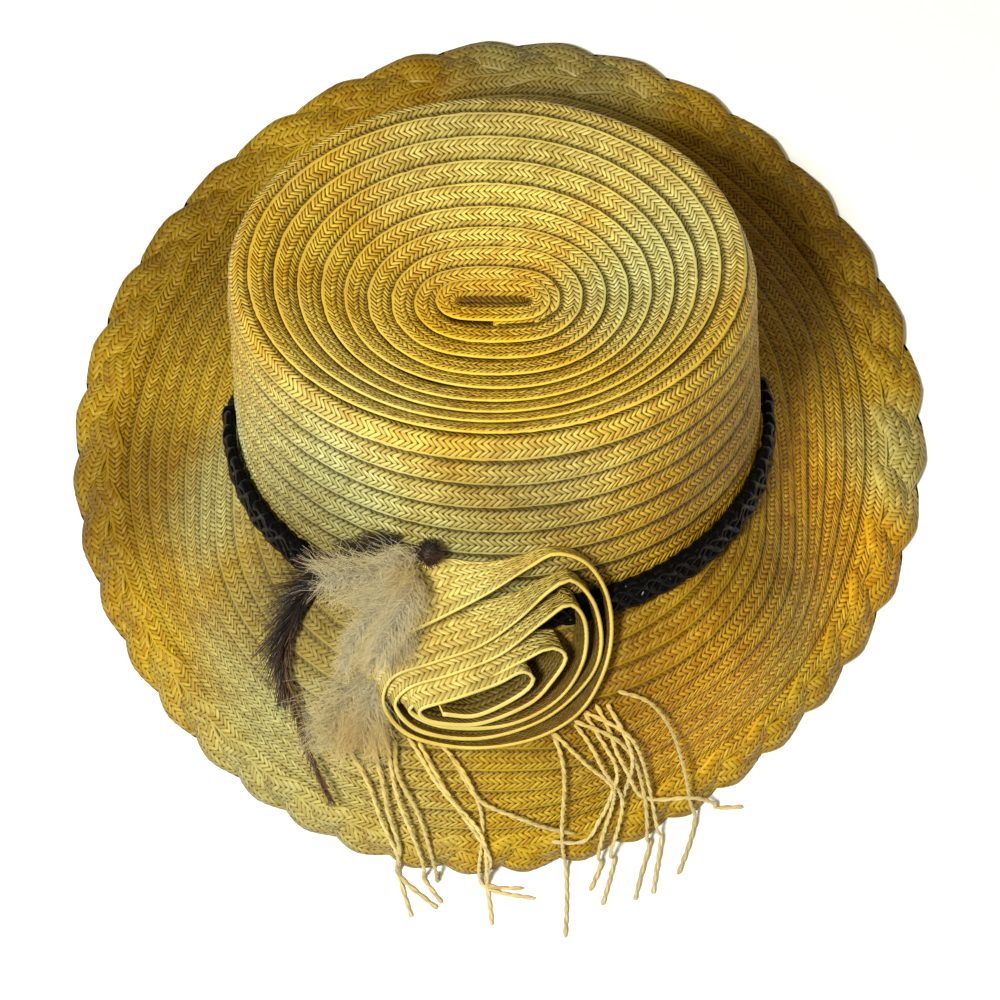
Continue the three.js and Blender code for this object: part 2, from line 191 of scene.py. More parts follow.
CROWN_RUN, CROWN_REACH, CROWN_RISE = outline_tables()
CROWN_SLOPE_OUT = np.gradient(CROWN_REACH * CROWN_MEAN_HALF, CROWN_RUN)
CROWN_SLOPE_UP = np.gradient(CROWN_RISE, CROWN_RUN)
CROWN_TABLES = (CROWN_REACH, CROWN_RISE, CROWN_SLOPE_OUT, CROWN_SLOPE_UP)


def lean_back(x, y, z):
    """From the crown's own axes, with its foot level, to the hat's."""
    cos, sin = math.cos(CROWN_LEAN), math.sin(CROWN_LEAN)
    return np.stack([x, y * cos + z * sin, z * cos - y * sin + CROWN_FOOT_HEIGHT], -1)


def crown_at(turn, run, lift):
    """Places on the crown: run is the distance from the middle of the tip, out and down."""
    reach, rise, out, up = (np.interp(run, CROWN_RUN, table) for table in CROWN_TABLES)
    off = -up * lift
    spread = TIP_OBLONG * np.clip(1 - reach / 0.9, 0, 1) ** 1.5 * np.tanh(3 * np.sin(turn))
    x = (CROWN_HALF_WIDTH * reach + off) * np.sin(turn) + spread
    y = -(CROWN_HALF_DEPTH * reach + off) * np.cos(turn)
    z = rise + out * lift
    return lean_back(x - CROWN_SHEAR * z, y, z)


def crown_side(turn, height, off):
    """Places on the crown's wall, by height above its foot."""
    reach = mix(1, 0.975, height / 52)
    x = (CROWN_HALF_WIDTH * reach + off) * np.sin(turn) - CROWN_SHEAR * height
    y = -(CROWN_HALF_DEPTH * reach + off) * np.cos(turn)
    return lean_back(x, y, height + 0 * turn)


def brim_tables(samples=81):
    """Places along the brim's sections, one a degree, at even steps from the crown to the edge."""
    turn = np.radians(np.arange(361.0))
    section = np.degrees(turn) / 30
    i = np.floor(section).astype(int)
    t = (section % 1)[:, None]
    columns = cubic(*[BRIM_SECTIONS[(i + k) % 12] for k in (-1, 0, 1, 2)], t)
    root_fall, root_pull, edge_fall, edge_pull = columns.T
    around = turn - EDGE_LAG * np.sin(turn)
    swell = 1 + EDGE_DIAGONAL * np.sin(2 * around) - EDGE_POINTED * (1 - np.cos(4 * around))
    x = EDGE_HALF_WIDTH * np.sin(around) * swell
    y = -EDGE_HALF_DEPTH * np.cos(around) * swell
    height = EDGE_THICK / 2 * (1 - np.sin(np.radians(np.abs(edge_fall)))) - EDGE_TREAD
    cos, sin = math.cos(EDGE_YAW), math.sin(EDGE_YAW)
    edge = np.stack([x * cos - y * sin, EDGE_SET_BACK + x * sin + y * cos, height], -1)
    root = lean_back(CROWN_HALF_WIDTH * np.sin(turn), -CROWN_HALF_DEPTH * np.cos(turn), 0 * turn)
    outward = unit((edge - root) * (1, 1, 0))

    def way(fall):
        angle = np.radians(fall)[:, None]
        return outward * np.cos(angle) - np.array([0, 0, 1]) * np.sin(angle)

    handles = [
        root,
        root + way(root_fall) * root_pull[:, None],
        edge - way(edge_fall) * edge_pull[:, None],
        edge,
    ]
    s = np.linspace(0, 1, 121)[None, :, None]
    blend = [(1 - s) ** 3, 3 * s * (1 - s) ** 2, 3 * s * s * (1 - s), s ** 3]
    curves = sum(w * h[:, None, :] for w, h in zip(blend, handles))
    runs = np.cumsum(np.linalg.norm(np.diff(curves, axis=1), axis=2), axis=1)
    runs = np.concatenate([np.zeros((361, 1)), runs], 1)
    points = np.empty((361, samples, 3))
    for row in range(361):
        even = np.linspace(0, runs[row, -1], samples)
        for k in range(3):
            points[row, :, k] = np.interp(even, runs[row], curves[row, :, k])
    down = np.gradient(points, axis=1)
    round_way = np.gradient(points, axis=0)
    round_way[0] = round_way[-1] = points[1] - points[-2]
    return points, unit(np.cross(down, round_way)), runs[:, -1]


BRIM_POINTS, BRIM_NORMALS, BRIM_LENGTHS = brim_tables()


def brim_length(turn):
    return np.interp(np.degrees(turn) % 360, np.arange(361), BRIM_LENGTHS)


def brim_at(turn, inset, lift):
    """Places on the brim: inset is the distance in from its outer edge."""
    samples = BRIM_POINTS.shape[1]
    place = np.degrees(turn) % 360
    i = np.minimum(place.astype(int), 359)
    f = (place - i)[..., None]
    run = np.clip(1 - inset / brim_length(turn), 0.008, 1) * (samples - 1)
    j = np.minimum(run.astype(int), samples - 2)
    g = (run - j)[..., None]

    def read(table):
        near = mix(table[i, j], table[i, j + 1], g)
        far = mix(table[i + 1, j], table[i + 1, j + 1], g)
        return mix(near, far, f)

    return read(BRIM_POINTS) + unit(read(BRIM_NORMALS)) * np.asarray(lift)[..., None]


def straw_surface():
    """The outside of crown and brim as one net, to keep the trimmings off it."""
    turn = np.radians(np.arange(0, 361, 3.0))
    level = 0 * turn
    rows = [crown_at(turn, run + level, 1.2 + level) for run in np.arange(40, CROWN_RUN[-1], 4.0)]
    for share in np.linspace(0.01, 1, 30):
        rows.append(brim_at(turn, brim_length(turn) * (1 - share), 1.4 + level))
    across = len(turn)
    faces = [(r * across + k, (r + 1) * across + k, (r + 1) * across + k + 1, r * across + k + 1)
             for r in range(len(rows) - 1) for k in range(across - 1)]
    return BVHTree.FromPolygons(np.concatenate(rows).tolist(), faces)


SURFACE = straw_surface()


def straw_below(place):
    """The nearest place on the straw, the way up from it and the height of the place above it."""
    near, normal, _, _ = SURFACE.find_nearest(Vector(place))
    if normal.z < 0:
        normal = -normal
    return near, normal, (Vector(place) - near).dot(normal)


def keep_off(points, clearance):
    """Lifts places that would sink into the straw to that clearance from it."""
    shape = points.shape
    flat = points.reshape(-1, 3).copy()
    room = np.broadcast_to(clearance, shape[:-1]).reshape(-1)
    for k, place in enumerate(flat):
        near, normal, height = straw_below(place)
        if height < room[k]:
            flat[k] = near + normal * room[k]
    return flat.reshape(shape)


def drift(along, seed, size, wavelength):
    """A smooth wander of about that size along a row, the same each run."""
    random = np.random.default_rng(seed)
    total = 0 * along
    for _ in range(5):
        length = wavelength * random.uniform(0.6, 1.8)
        total = total + np.sin(2 * np.pi * along / length + random.uniform(0, 6.28))
    return size * total / 2.5


# ---- Meshes ----

def link_piece(name, mesh):
    piece = bpy.data.objects.new(name, mesh)
    bpy.context.collection.objects.link(piece)
    return piece


class Stock:
    """Points, faces and face marks gathered for one piece."""

    def __init__(self):
        self.points = []
        self.faces = []
        self.corners = []
        self.straws = []
        self.count = 0

    def sweep(self, rings, closed, bands, first_cell=0.0):
        """Skins rings of places. bands gives each side's pair of across values and if it is woven."""
        stations, sides = rings.shape[:2]
        points = rings.reshape(-1, 3)
        spans = stations if closed else stations - 1
        i = np.repeat(np.arange(spans), sides)
        j = np.tile(np.arange(sides), spans)
        i2, j2 = (i + 1) % stations, (j + 1) % sides
        faces = np.stack([i * sides + j, i2 * sides + j, i2 * sides + j2, i * sides + j2], 1)
        table = np.array([(low, high) for low, high, _ in bands], float)
        low, high = table[j, 0], table[j, 1]
        cell = first_cell + i
        corners = np.stack([cell, low, cell + 1, low, cell + 1, high, cell, high], 1).reshape(-1, 4, 2)
        woven = np.array([mark for _, _, mark in bands])[j]
        a, b, c, d = (points[faces[:, k]] for k in range(4))
        away = (a + c) / 2 - rings.mean(1)[i]
        outward = np.einsum("ij,ij->i", np.cross(c - a, d - b), away).sum() > 0
        if not outward:
            faces, corners = faces[:, ::-1], corners[:, ::-1]
        self.points.append(points)
        self.faces.extend((faces + self.count).tolist())
        self.corners.append(corners.reshape(-1, 2))
        self.straws.append(woven)
        if not closed:
            for station in (0, stations - 1):
                ring = [self.count + station * sides + k for k in range(sides)]
                if (station > 0) == outward:
                    ring = ring[::-1]
                self.faces.append(ring)
                self.corners.append(np.full((sides, 2), (first_cell, EDGE_BAND)))
                self.straws.append(np.array([False]))
        self.count += len(points)

    def make(self, name):
        mesh = bpy.data.meshes.new(name)
        mesh.from_pydata(to_row(np.concatenate(self.points)).tolist(), [], self.faces)
        layer = mesh.uv_layers.new(name="Braid")
        layer.data.foreach_set("uv", np.concatenate(self.corners).astype(np.float32).ravel())
        mark = mesh.attributes.new("woven", "BOOLEAN", "FACE")
        mark.data.foreach_set("value", np.concatenate(self.straws))
        return link_piece(name, mesh)


EDGE_BAND = 10.5                     # across values from 10 to 12 mark plain, unwoven sides
INNER_BAND = 20                      # and those from here up the inner side of a strip


def plain(*across):
    """Bands for plain sides that run through those across values."""
    return [(low, high, False) for low, high in zip(across, across[1:])]


def braid_section(columns, column_width, thick, flange=0.0, both_sides=False):
    """A cut through flat braid from its hidden edge to its rolled one.

    Gives the places across and up, how far each leads along, and the skin's bands.
    """
    end = flange + column_width * columns
    lead = STRAW_SLANT * (columns % 2)
    top = [(flange + column_width * k, thick, STRAW_SLANT * (k % 2)) for k in range(columns + 1)]
    woven = [(k, k + 1, True) for k in range(columns)]
    if both_sides:
        start = [(-ROLLED_EDGE, thick * 0.5, 0), (-ROLLED_EDGE * 0.6, thick + EDGE_RIDGE, 0)]
        top += [(end + ROLLED_EDGE * 0.6, thick + EDGE_RIDGE, lead), (end + ROLLED_EDGE, thick * 0.5, lead)]
        under = [(flange + column_width * k, 0, STRAW_SLANT * (k % 2)) for k in range(columns, -1, -1)]
        bands = plain(EDGE_BAND, 10.7, 10.9) + woven + plain(10.6, 10.75) + plain(10.6, 10.9, 11.2)
        bands += [(INNER_BAND + high, INNER_BAND + low, True) for low, high, _ in woven[::-1]]
        return np.array(start + top + under, float), bands + plain(EDGE_BAND, 10.6)
    start = [(0, 0, 0), (0, thick, 0)] if flange else [(0, 0, 0)]
    rolled = [(end + 0.55, thick + 0.22, lead), (end + 1.15, thick * 0.55, lead), (end + 0.8, 0, lead)]
    bands = plain(EDGE_BAND, 10.6, 10.9) if flange else plain(EDGE_BAND, 10.6)
    bands += woven + plain(10.6, 10.9, 11.2, 11.3) + [(-columns, 0, False)]
    return np.array(start + top + rolled, float), bands


def lay_row(stock, place, turn_start, turn_end, cut, bands, seed, closed, fine_steps=0):
    """Lays one row of braid. place(turn, across, up) gives the hat's places."""
    steps = fine_steps or max(200, int(abs(turn_end - turn_start) * 115))
    fine = np.linspace(turn_start, turn_end, steps)
    middle = cut[:, 0].max() * 0.6
    path = place(fine, middle + 0 * fine, 0 * fine)
    run = run_along(path)
    count = int(round(run[-1] / STRAW_PITCH))
    station = np.arange(count if closed else count + 1)[:, None] + cut[None, :, 2]
    random = np.random.default_rng(seed)
    # Only the corners of the straws that show stray.
    stray = random.normal(0, 1, (3,) + station.shape) * ((cut[:, 1] > 0) & (cut[:, 0] > 0))
    station = station + stray[0] * STRAY_ALONG
    along = station / count * run[-1]
    if closed:
        along = along % run[-1]
    turn = np.interp(along, run, fine)
    across = cut[None, :, 0] + stray[1] * STRAY_ACROSS
    up = cut[None, :, 1] + stray[2] * STRAY_UP
    stock.sweep(place(turn, across, up), closed, bands, first_cell=seed * 4000.0)


# ---- Node helpers ----

def node(tree, kind, inputs=(), **settings):
    """A new node. Its inputs are values, sockets or nodes, whose first output is meant."""
    made = tree.nodes.new(kind)
    for name, value in settings.items():
        setattr(made, name, value)
    for key, value in dict(inputs).items():
        give(tree, made.inputs[key], value)
    return made


def give(tree, socket, value):
    if isinstance(value, bpy.types.Node):
        value = value.outputs[0]
    if isinstance(value, bpy.types.NodeSocket):
        tree.links.new(value, socket)
    else:
        socket.default_value = value


def maths(tree, operation, a, b=0.0, c=0.0, clamp=False):
    made = node(tree, "ShaderNodeMath", {0: a, 1: b, 2: c}, operation=operation, use_clamp=clamp)
    return made.outputs[0]


def apply_tree(piece, tree, values):
    """Runs a geometry tree with its named inputs on the piece, and keeps the plain mesh."""
    modifier = piece.modifiers.new("making", "NODES")
    modifier.node_group = tree
    for item in tree.interface.items_tree:
        if item.name in values and item.in_out == "INPUT":
            modifier[item.identifier] = values[item.name]
    depsgraph = bpy.context.evaluated_depsgraph_get()
    made = bpy.data.meshes.new_from_object(piece.evaluated_get(depsgraph))
    piece.modifiers.remove(modifier)
    old = piece.data
    piece.data = made
    made.name = piece.name
    bpy.data.meshes.remove(old)
    return piece


def new_tree(name, inputs=()):
    """A geometry tree with those inputs and a finish, and the node that they come out of."""
    tree = bpy.data.node_groups.new(name, "GeometryNodeTree")
    tree.interface.new_socket("Geometry", in_out="INPUT", socket_type="NodeSocketGeometry")
    for label, kind in inputs:
        tree.interface.new_socket(label, in_out="INPUT", socket_type="NodeSocket" + kind)
    tree.interface.new_socket("Finish", in_out="INPUT", socket_type="NodeSocketMaterial")
    tree.interface.new_socket("Geometry", in_out="OUTPUT", socket_type="NodeSocketGeometry")
    return tree, node(tree, "NodeGroupInput")


def close_tree(tree, start, shape):
    """Ends a tree: the shape is smoothed, made real and given its finish."""
    smooth = node(tree, "GeometryNodeSetShadeSmooth", {"Geometry": shape})
    whole = node(tree, "GeometryNodeRealizeInstances", {"Geometry": smooth})
    finished = node(tree, "GeometryNodeSetMaterial", {
        "Geometry": whole, "Material": start.outputs["Finish"],
    })
    node(tree, "NodeGroupOutput", {"Geometry": finished})
    return tree


def raised_straws_tree():
    """Raises each woven face into a straw with rounded sides, some a little higher than others."""
    tree, start = new_tree("raised straws")
    woven = node(tree, "GeometryNodeInputNamedAttribute", {"Name": "woven"}, data_type="BOOLEAN")
    height = node(tree, "FunctionNodeRandomValue", {
        2: 1 - STRAW_UNEVEN, 3: 1 + STRAW_UNEVEN, "Seed": 7,
    }, data_type="FLOAT")
    raised = node(tree, "GeometryNodeExtrudeMesh", {
        "Mesh": start, "Selection": woven, "Individual": True,
        "Offset Scale": maths(tree, "MULTIPLY", STRAW_RISE * MM, height.outputs[1]),
    }, mode="FACES")
    topped = node(tree, "GeometryNodeScaleElements", {
        "Geometry": raised, "Selection": raised.outputs["Top"], "Scale": STRAW_TOP,
    }, domain="FACE")
    return close_tree(tree, start, topped)


def strands_tree():
    """Turns drawn lines into strands, flat or round, which swell and taper with "girth"."""
    tree, start = new_tree("strands", [("Half width", "Float"), ("Half depth", "Float"), ("Sides", "Int")])
    curve = node(tree, "GeometryNodeMeshToCurve", {"Mesh": start})
    girth = node(tree, "GeometryNodeInputNamedAttribute", {"Name": "girth"}, data_type="FLOAT")
    sized = node(tree, "GeometryNodeSetCurveRadius", {"Curve": curve, "Radius": girth})
    ring = node(tree, "GeometryNodeCurvePrimitiveCircle", {
        "Resolution": start.outputs["Sides"], "Radius": 1.0,
    })
    scale = node(tree, "ShaderNodeCombineXYZ", {
        0: start.outputs["Half width"], 1: start.outputs["Half depth"], 2: 1.0,
    })
    oval = node(tree, "GeometryNodeTransform", {"Geometry": ring, "Scale": scale})
    body = node(tree, "GeometryNodeCurveToMesh", {
        "Curve": sized, "Profile Curve": oval, "Fill Caps": True,
    })
    if "Scale" in body.inputs:
        give(tree, body.inputs["Scale"], girth)
    return close_tree(tree, start, body)


# ---- Finishes ----

def new_material(name):
    """A material, its tree, its shader and the places on the piece."""
    material = bpy.data.materials.new(name)
    material.use_nodes = True
    tree = material.node_tree
    tree.nodes.clear()
    shader = node(tree, "ShaderNodeBsdfPrincipled")
    node(tree, "ShaderNodeOutputMaterial", {"Surface": shader})
    return material, tree, shader, node(tree, "ShaderNodeTexCoord").outputs["Object"]


def ramp(tree, value, stops):
    made = node(tree, "ShaderNodeValToRGB", {0: value})
    elements = made.color_ramp.elements
    while len(elements) < len(stops):
        elements.new(0.5)
    for element, (place, colour) in zip(elements, stops):
        element.position = place
        element.color = (*colour, 1)
    return made.outputs[0]


def mix_colours(tree, share, a, b, blend="MIX"):
    made = node(tree, "ShaderNodeMix", data_type="RGBA", blend_type=blend)
    give(tree, made.inputs[0], share)
    for index, value in ((6, a), (7, b)):
        give(tree, made.inputs[index], (*value, 1) if isinstance(value, tuple) else value)
    return made.outputs[2]


def multiplied(tree, share, colour, by):
    """The colour, taken towards its product with another by that share."""
    return mix_colours(tree, share, colour, mix_colours(tree, 1.0, colour, by, "MULTIPLY"))


def smooth_step(tree, value, low, high):
    made = node(tree, "ShaderNodeMapRange", {
        "Value": value, "From Min": low, "From Max": high,
    }, interpolation_type="SMOOTHSTEP")
    return made.outputs[0]


def noise(tree, place, scale, detail=2.0, rough=0.5):
    return node(tree, "ShaderNodeTexNoise", {
        "Vector": place, "Scale": scale, "Detail": detail, "Roughness": rough,
    }).outputs[0]


def shade_with(tree, shader, colour, roughness, specular, bump_strength, bump_distance, height):
    """Gives a shader its colour, gloss and bumps."""
    give(tree, shader.inputs["Base Color"], colour)
    give(tree, shader.inputs["Roughness"], roughness)
    shader.inputs["Specular IOR Level"].default_value = specular
    bump = node(tree, "ShaderNodeBump", {
        "Strength": bump_strength, "Distance": bump_distance, "Height": height,
    })
    give(tree, shader.inputs["Normal"], bump)


# Middles and radii of the parts painted paler and greener, as painted light where the cool light falls.
PALE_LIGHT_ZONES = [
    ((-72, -72, 110), 68), ((-75, -125, 40), 75), ((45, 45, 125), 46), ((-100, -20, 60), 45),
    ((150, 5, 10), 30), ((-20, -110, 95), 40), ((20, 170, 5), 50), ((-15, -94, 118), 50),
    ((20, -85, 150), 42), ((0, 78, 112), 50),
]
# The same for the parts painted darker, as painted shade, such as where the crown's shadow falls on the
# brim.
SHADE_ZONES = [
    ((25, -96, 90), 62), ((88, -45, 95), 62), ((-70, -70, 95), 50), ((-15, -96, 112), 45),
    ((5, -86, 142), 45), ((115, 105, 30), 85), ((0, 140, 30), 80), ((-115, 95, 30), 60),
    ((-140, -10, 20), 40),
]
# The same for the parts painted a deeper, brighter gold, as painted warm light.
WARM_LIGHT_ZONES = [((118, -25, 25), 48), ((70, -102, 50), 42), ((0, 66, 110), 44)]


def near_any(tree, place, parts, most=1.0):
    """From 0 far from all of the parts to that most in their middles."""
    total = 0.0
    for middle, radius in parts:
        away = node(tree, "ShaderNodeVectorMath", {
            0: place, 1: tuple(to_row(middle)),
        }, operation="DISTANCE")
        near = smooth_step(tree, away.outputs["Value"], radius * 1.3 * MM, radius * 0.3 * MM)
        total = maths(tree, "MAXIMUM", near, total)
    return maths(tree, "MULTIPLY", total, most)


def braid_finish(name, brightness, paleness, inner_shade=1.0, gap_shade=0.4, painted_light_share=1.0, lap_shade=0.5):
    """Glossy natural straw, woven in slanting cells that the Braid map counts.

    inner_shade is how much light the painted shade leaves on the strip's inward side, gap_shade how dark
    the painted shade between the straws is, painted_light_share how strongly the painted light and shade
    zones show, and lap_shade how dark the painted shade next to the row before is.
    """
    material, tree, shader, place = new_material(name)

    def calc(operation, *values, clamp=False):
        return maths(tree, operation, *values, clamp=clamp)

    def peak(value):
        """From 0 at whole numbers to 1 half way between them, for a value from 0 to 1."""
        return calc("SUBTRACT", 1.0, calc("ABSOLUTE", calc("MULTIPLY_ADD", value, 2.0, -1.0)))

    def straw_ramp(colours):
        shades = [tuple(min(1.0, channel * brightness) for channel in colour) for colour in colours]
        return ramp(tree, tone, list(zip((0.3, 0.52, 0.75), shades)))

    cells = node(tree, "ShaderNodeUVMap", uv_map="Braid")
    split = node(tree, "ShaderNodeSeparateXYZ", {0: cells})
    u = split.outputs[0]
    v = split.outputs[1]
    slant = calc("MULTIPLY", calc("PINGPONG", v, 1.0), STRAW_SLANT)
    phase = calc("ADD", u, calc("MULTIPLY", slant, calc("LESS_THAN", v, 0.0)))
    p = calc("FRACT", phase)
    q = calc("FRACT", v)
    edge = calc("MULTIPLY", calc("GREATER_THAN", v, 10.0), calc("LESS_THAN", v, 12.0))
    cell = node(tree, "ShaderNodeCombineXYZ", {
        0: calc("MULTIPLY", calc("FLOOR", phase), calc("SUBTRACT", 1.0, edge)),
        1: calc("FLOOR", v),
    })
    chance = node(tree, "ShaderNodeTexWhiteNoise", {"Vector": cell}, noise_dimensions="3D")
    luck = chance.outputs["Value"]

    # How much of the straw itself shows, against painted shade: less along its sides, none in the gaps at
    # its ends.
    rounding = peak(p)
    sides = smooth_step(tree, rounding, 0.0, 0.3)
    chink = calc("MULTIPLY_ADD", chance.outputs["Color"], 0.6, 0.25)
    corners = smooth_step(tree, calc("ADD", rounding, peak(q)), 0.04, chink)
    body = calc("MULTIPLY", calc("MULTIPLY_ADD", sides, gap_shade, 1.0 - gap_shade), corners)
    body = calc("MAXIMUM", body, calc("MULTIPLY", edge, 0.95))

    fibre = node(tree, "ShaderNodeCombineXYZ", {
        0: calc("MULTIPLY", p, 4.0), 1: calc("MULTIPLY", q, 0.8), 2: calc("MULTIPLY", luck, 90.0),
    })
    streaks = noise(tree, fibre, 1.0)
    mottle = noise(tree, place, 70.0, 3.0, 0.6)
    tone = calc("ADD", calc("MULTIPLY", streaks, 0.28), calc("MULTIPLY", mottle, 0.42))
    tone = calc("ADD", calc("MULTIPLY_ADD", luck, 0.24, 0.17), tone)
    patches = noise(tree, place, 14.0, 3.0, 0.55)
    # Painted pale light in its zones, with pale patches at random.
    toned = calc("ADD", near_any(tree, place, PALE_LIGHT_ZONES, 0.8 * painted_light_share),
                 calc("MULTIPLY_ADD", patches, 1.0, paleness - 0.42), clamp=True)
    straw = mix_colours(tree, toned, straw_ramp((GOLD_DEEP, GOLD_MIDDLE, GOLD_LIGHT)),
                        straw_ramp((PALE_DEEP, PALE_MIDDLE, PALE_LIGHT)))
    # Painted shade on the strip's inward side, which faces into the roll.
    is_inner = calc("GREATER_THAN", v, INNER_BAND - 5.0)
    straw = multiplied(tree, is_inner, straw, (inner_shade, inner_shade * 0.85, inner_shade * 0.7))
    # Painted shade in its zones.
    straw = multiplied(tree, near_any(tree, place, SHADE_ZONES, painted_light_share), straw, SHADE_TINT)
    # Painted warm light in its zones.
    straw = multiplied(tree, near_any(tree, place, WARM_LIGHT_ZONES, painted_light_share), straw, WARM_LIGHT_TINT)
    # Painted shade where a row comes out from under the one before.
    hidden = smooth_step(tree, calc("ABSOLUTE", v), 1.9, 0.4)
    straw = multiplied(tree, calc("MULTIPLY", hidden, lap_shade), straw, LAP_SHADE_TINT)

    rounded = calc("POWER", calc("MAXIMUM", rounding, edge), 0.5)
    height = calc("ADD", calc("MULTIPLY", rounded, body), calc("MULTIPLY", streaks, 0.4))
    shade_with(tree, shader, mix_colours(tree, body, STRAW_GAP_SHADE, straw),
               calc("MULTIPLY_ADD", streaks, 0.3, 0.26), 0.16, 0.5, 0.00035, height)
    shader.inputs["Coat Weight"].default_value = 0.02
    shader.inputs["Coat Roughness"].default_value = 0.3
    return material


def cord_finish():
    material, tree, shader, place = new_material("black_cord")
    glint_and_wear = noise(tree, place, 900.0)
    # Lighter flecks in the black are painted glints; the same noise sets the roughness and bumps.
    colour = ramp(tree, glint_and_wear, [(0.4, CORD_BLACK), (0.8, CORD_GLINT)])
    roughness = maths(tree, "MULTIPLY_ADD", glint_and_wear, 0.25, 0.08)
    shade_with(tree, shader, colour, roughness, 0.05, 0.3, 0.0002, glint_and_wear)
    return material


def strand_finish(name, root, middle, tip, rough, sheen=0.0, warm=()):
    """For barbs, down and twisted straw: colour runs by "along" and differs strand by strand."""
    material, tree, shader, place = new_material(name)
    along = node(tree, "ShaderNodeAttribute", attribute_name="along").outputs["Fac"]
    strand = node(tree, "ShaderNodeAttribute", attribute_name="strand").outputs["Fac"]
    base = ramp(tree, along, [(0.0, root), (0.5, middle), (1.0, tip)])
    flecks = noise(tree, place, 500.0)
    lit = maths(tree, "ADD", maths(tree, "MULTIPLY", strand, 0.6), maths(tree, "MULTIPLY", flecks, 0.8))
    darker = mix_colours(tree, 1.0, base, DARK_STRAND_TINT, "MULTIPLY")
    colour = mix_colours(tree, maths(tree, "MULTIPLY", lit, 0.9, clamp=True), darker, base)
    if warm:
        colour = multiplied(tree, near_any(tree, place, warm, 0.85), colour, WARM_TINT)
    shade_with(tree, shader, colour, rough, 0.4, 0.25, 0.0002, flecks)
    shader.inputs["Sheen Weight"].default_value = sheen
    return material


# ---- Lines drawn for strands ----

class Lines:
    """Lines of places with a girth, how far along each point lies and a number for each strand."""

    def __init__(self):
        self.points = []
        self.edges = []
        self.girth = []
        self.along = []
        self.strand = []
        self.count = 0

    def add(self, path, girth, closed=False, strand=0.5):
        n = len(path)
        steps = np.arange(n if closed else n - 1)
        self.edges.append(np.stack([steps, (steps + 1) % n], 1) + self.count)
        self.points.append(path)
        self.girth.append(np.broadcast_to(girth, n))
        self.along.append(np.linspace(0, 1, n))
        self.strand.append(np.full(n, strand))
        self.count += n

    def make(self, name):
        mesh = bpy.data.meshes.new(name)
        points = to_row(np.concatenate(self.points)).tolist()
        mesh.from_pydata(points, np.concatenate(self.edges).tolist(), [])
        for label, values in (("girth", self.girth), ("along", self.along), ("strand", self.strand)):
            layer = mesh.attributes.new(label, "FLOAT", "POINT")
            layer.data.foreach_set("value", np.concatenate(values).astype(np.float32))
        return link_piece(name, mesh)


def finish_piece(piece, nodes):
    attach(piece, "root")
    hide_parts(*nodes)


def finish_strands(lines, half_width, half_depth, sides, finish, nodes):
    piece = apply_tree(lines, STRANDS, {
        "Half width": half_width * MM, "Half depth": half_depth * MM, "Sides": sides, "Finish": finish,
    })
    finish_piece(piece, nodes)


def finish_braid(braid, finish, nodes):
    piece = apply_tree(braid, STRAWS, {"Finish": finish})
    finish_piece(piece, nodes)
    return piece


STRAWS = raised_straws_tree()
STRANDS = strands_tree()

# ---- The crown ----

WALL_COLUMNS = 4
WALL_COLUMN_WIDTH = 2.4
FLANGE = 1.4                         # plain margin, hidden under the row before
TIP_EXPOSURE = 9.5                   # how much of each row's width shows on the tip
WALL_EXPOSURE = 10.3                 # and on the wall
FIRST_TUCK = 1.25                    # how deep the spiral starts under the folded middle


def crown_braid():
    cut, bands = braid_section(WALL_COLUMNS, WALL_COLUMN_WIDTH, BRAID_THICK, FLANGE)
    width = cut[:, 0].max()
    rim_run = float(CROWN_RUN[np.argmax(CROWN_RISE)])
    last_run = CROWN_RUN[-1] + 1.5 - width
    tip_turns = rim_run / TIP_EXPOSURE
    all_turns = tip_turns + (last_run - rim_run) / WALL_EXPOSURE + 1.05

    def place(turn, across, up):
        turns = turn / (2 * np.pi)
        free = np.where(turns < tip_turns, turns * TIP_EXPOSURE,
                        tip_turns * TIP_EXPOSURE + (turns - tip_turns) * WALL_EXPOSURE)
        start = np.minimum(free, last_run)
        tucked = (free - start) * LAP_SLOPE + FIRST_TUCK * np.clip(1 - turns, 0, 1)
        lift = -1.5 - tucked + LAP_SLOPE * across + up + drift(turn * 60, 3, 0.12, 70)
        wander = drift(turn * 60, 4, 0.3, 110)
        return crown_at(turn, start + 0.6 + across + wander, lift)

    def middle_ring(turn, across, up):
        return crown_at(turn, 0.15 + across * 0.93, -1.5 + LAP_SLOPE * across + up)

    stock = Stock()
    middle_cut, middle_bands = braid_section(WALL_COLUMNS, WALL_COLUMN_WIDTH * 1.1, BRAID_THICK)
    lay_row(stock, middle_ring, 0.0, 2 * np.pi, middle_cut, middle_bands, 2, closed=True)
    lay_row(stock, place, 0.0, all_turns * 2 * np.pi, cut, bands, 1, closed=False)
    return stock.make("crown_braid")


crown_finish = braid_finish("crown_straw", 1.02, 0.02, gap_shade=0.62, lap_shade=1.0)
finish_braid(crown_braid(), crown_finish, ["crown"])

# ---- The brim ----

BRIM_COLUMNS = 4
BRIM_COLUMN_WIDTH = 2.2
BRIM_EXPOSURE = 9.05
BRIM_ROWS = 11
PLAIT_LAP = 4.8                      # how far the last row lies over the plait
PLAIT_RISE = 1.9                     # and how much higher it lies for that
SHORTEST_STRETCH = 0.15              # turn of the shortest piece of a row that is laid


